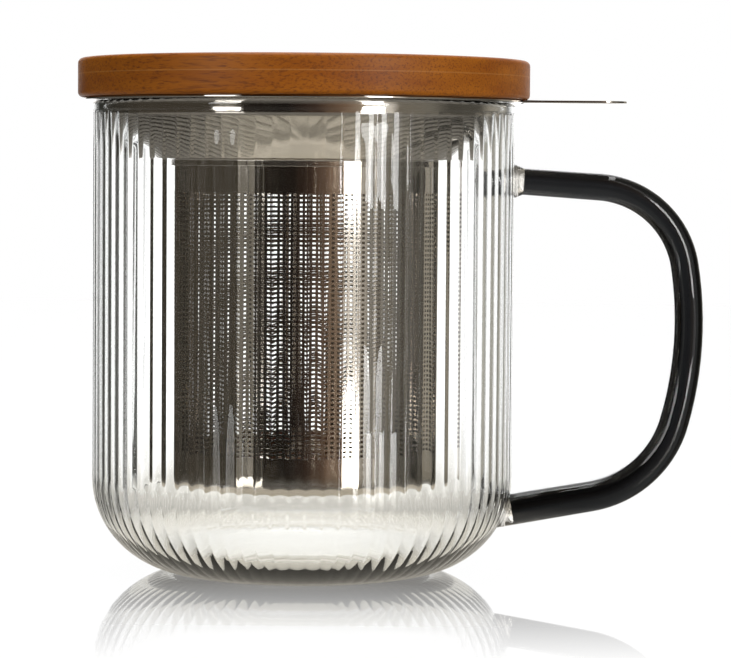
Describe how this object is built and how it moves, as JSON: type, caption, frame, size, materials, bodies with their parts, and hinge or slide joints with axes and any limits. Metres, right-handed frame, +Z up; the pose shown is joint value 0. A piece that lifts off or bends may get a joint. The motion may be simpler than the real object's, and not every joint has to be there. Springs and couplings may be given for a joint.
{
  "type": "lidded tea mug with infuser",
  "caption": "Ribbed clear glass tea mug with a bent rod handle, a lift-out perforated steel infuser with a side tab, and a lift-off bamboo lid with a sealing ring.",
  "frame": {"origin": "centre of the cup's flat foot, on the cup's axis, at the surface it stands on", "axes": "+Z up along the cup's axis; +X towards the handle and the infuser's tab; +Y to the left when looking along +X"},
  "size_m": [0.1308, 0.094, 0.1067],
  "materials": {
    "clear_glass": "fire-polished clear borosilicate glass",
    "smoked_glass": "smoke-grey solid glass rod, flame polished",
    "weld_glass": "clear glass fused in the flame",
    "steel": "bright stainless steel sheet, pressed and polished",
    "steel_mesh": "stainless steel sheet etched with fine holes and rolled",
    "bamboo": "carbonised bamboo, turned and satin lacquered",
    "silicone": "translucent white silicone"
  },
  "bodies": {
    "mug": {"cup_glass": "clear_glass", "handle_rod": "smoked_glass", "handle_weld_upper": "weld_glass", "handle_weld_lower": "weld_glass"},
    "infuser": {"infuser_collar": "steel", "infuser_tube": "steel_mesh", "infuser_base": "steel"},
    "lid": {"lid_disc": "bamboo", "lid_ring": "silicone"}
  },
  "joints": [
    {"name": "infuser_lift", "type": "slide", "parent": "mug", "child": "infuser", "axis": [0, 0, 1], "range_m": [0, 0.09]},
    {"name": "lid_lift", "type": "slide", "parent": "infuser", "child": "lid", "axis": [0, 0, 1], "range_m": [0, 0.03]}
  ]
}
